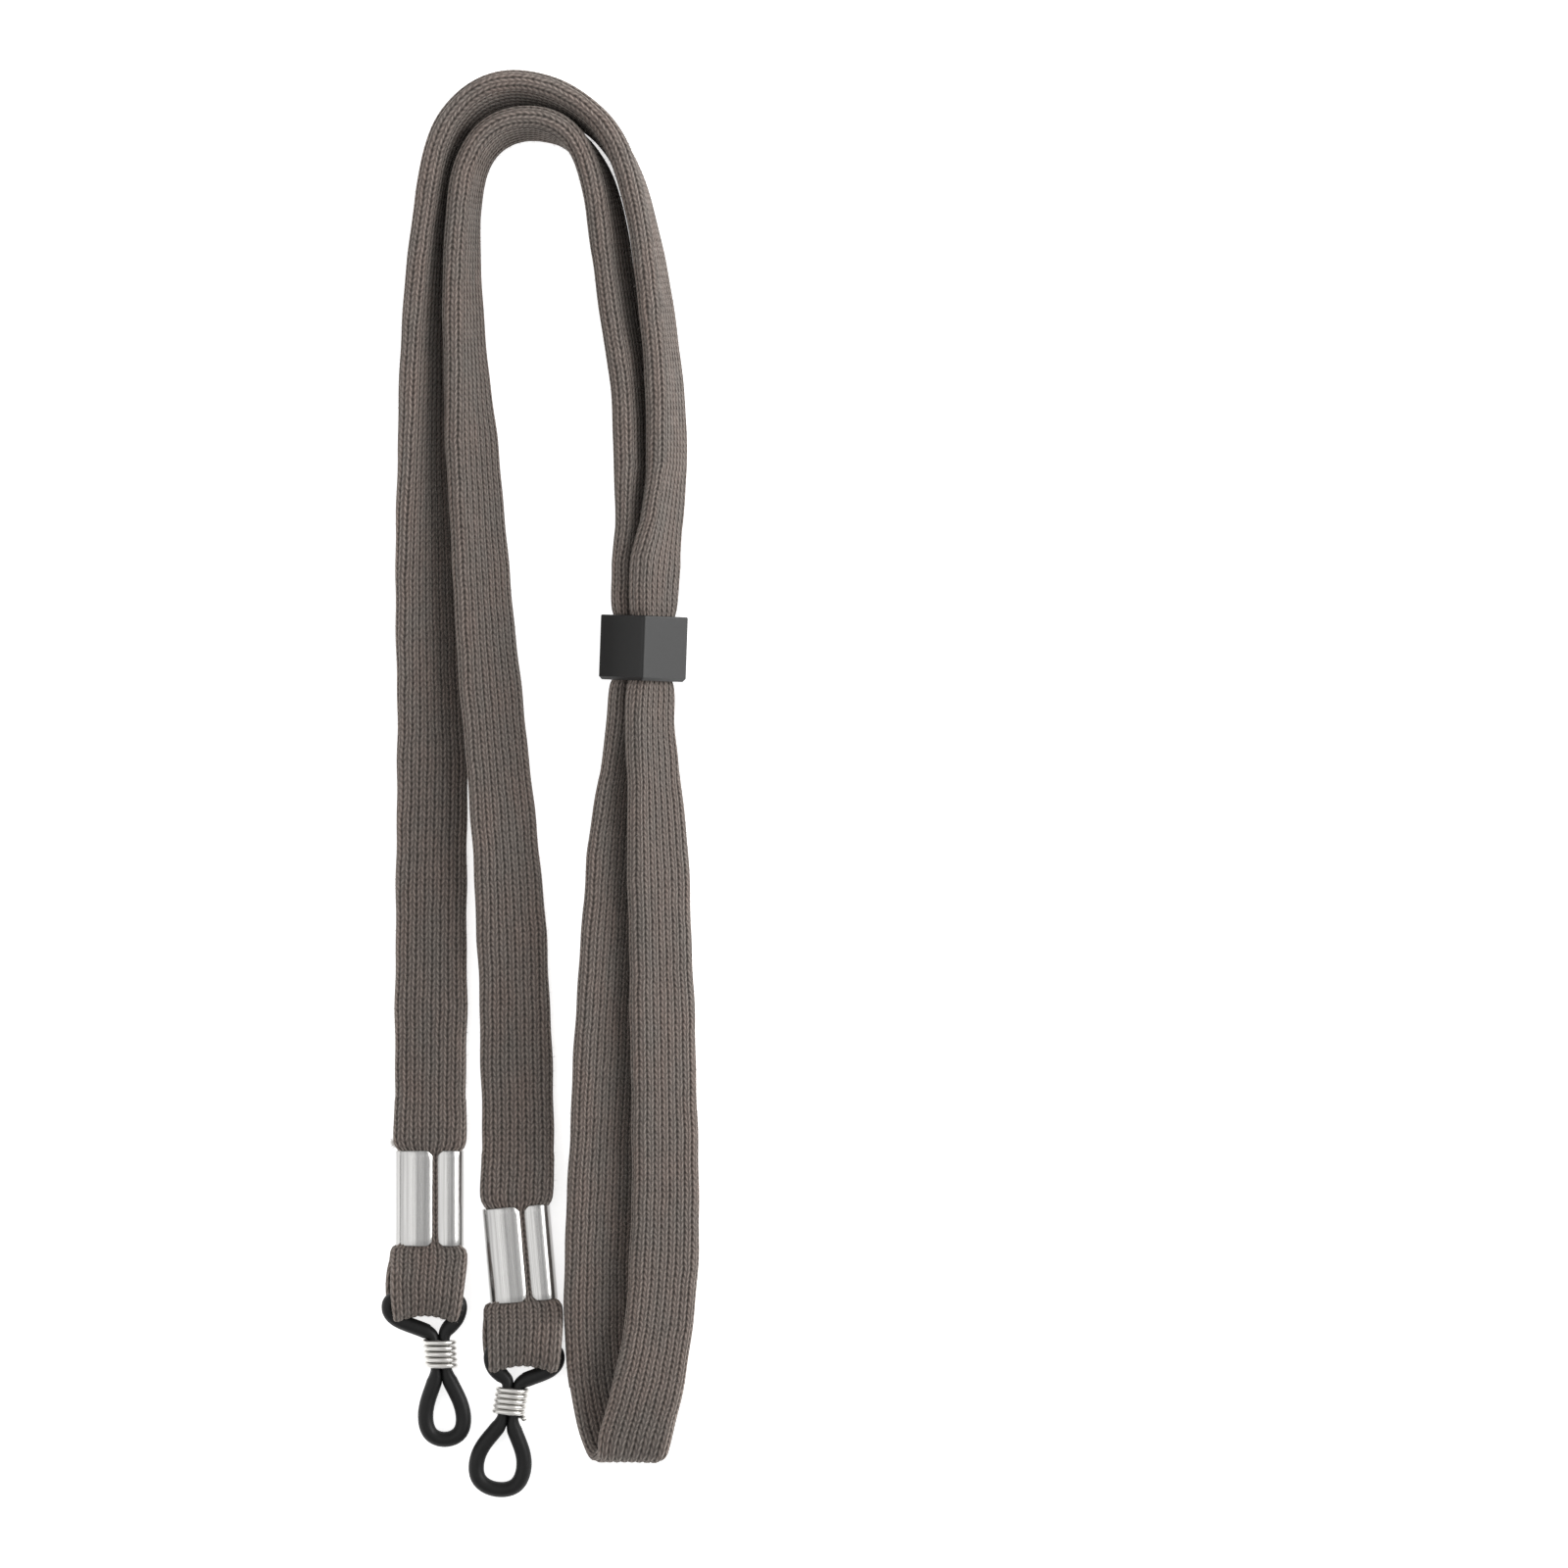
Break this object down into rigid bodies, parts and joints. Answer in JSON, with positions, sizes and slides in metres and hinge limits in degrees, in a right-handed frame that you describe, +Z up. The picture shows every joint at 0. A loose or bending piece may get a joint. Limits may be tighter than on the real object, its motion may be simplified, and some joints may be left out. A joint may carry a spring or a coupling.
{
  "type": "eyeglass retainer strap",
  "caption": "Flat knitted neck strap for glasses, with crimped metal ferrules, silicone temple loops, wire cinch coils and a square slider bead.",
  "frame": {"origin": "on the table, under the middle of the whole laid-out strap's box", "axes": "+Z up from the table, +Y towards the closed end of the strap, +X towards the side that carries the slider bead"},
  "size_m": [0.0448, 0.2024, 0.0124],
  "materials": {
    "knit_fabric": "taupe melange stockinette knit",
    "ferrule_metal": "bright nickel-plated sheet",
    "silicone": "semi-gloss moulded silicone cord",
    "coil_wire": "bright drawn steel wire",
    "slider_plastic": "satin black moulded plastic"
  },
  "bodies": {
    "strap": {"knit_strap": "knit_fabric", "ferrule_left": "ferrule_metal", "ferrule_right": "ferrule_metal"},
    "slider": {"slider_bead": "slider_plastic"},
    "loop_left": {"silicone_loop_left": "silicone"},
    "loop_right": {"silicone_loop_right": "silicone"},
    "coil_left": {"cinch_coil_left": "coil_wire"},
    "coil_right": {"cinch_coil_right": "coil_wire"}
  },
  "joints": [
    {"name": "slider_slide", "type": "slide", "parent": "strap", "child": "slider", "axis": [0.0349, 0.9994, 0], "range_m": [-0.0025, 0.005]},
    {"name": "loop_left_hinge", "type": "hinge", "parent": "strap", "child": "loop_left", "pos_m": [-0.0162, -0.07285, 0.00285], "axis": [-1, 0, 0], "range_deg": [-80, 80]},
    {"name": "loop_right_hinge", "type": "hinge", "parent": "strap", "child": "loop_right", "pos_m": [-0.0025, -0.08, 0.00285], "axis": [-1, 0, 0], "range_deg": [-80, 45]},
    {"name": "coil_left_slide", "type": "slide", "parent": "loop_left", "child": "coil_left", "axis": [0.0645, -0.995, -0.0766], "range_m": [-0.0003, 0.001]},
    {"name": "coil_right_slide", "type": "slide", "parent": "loop_right", "child": "coil_right", "axis": [-0.1564, -0.9848, -0.0758], "range_m": [-0.0003, 0.0007]}
  ]
}
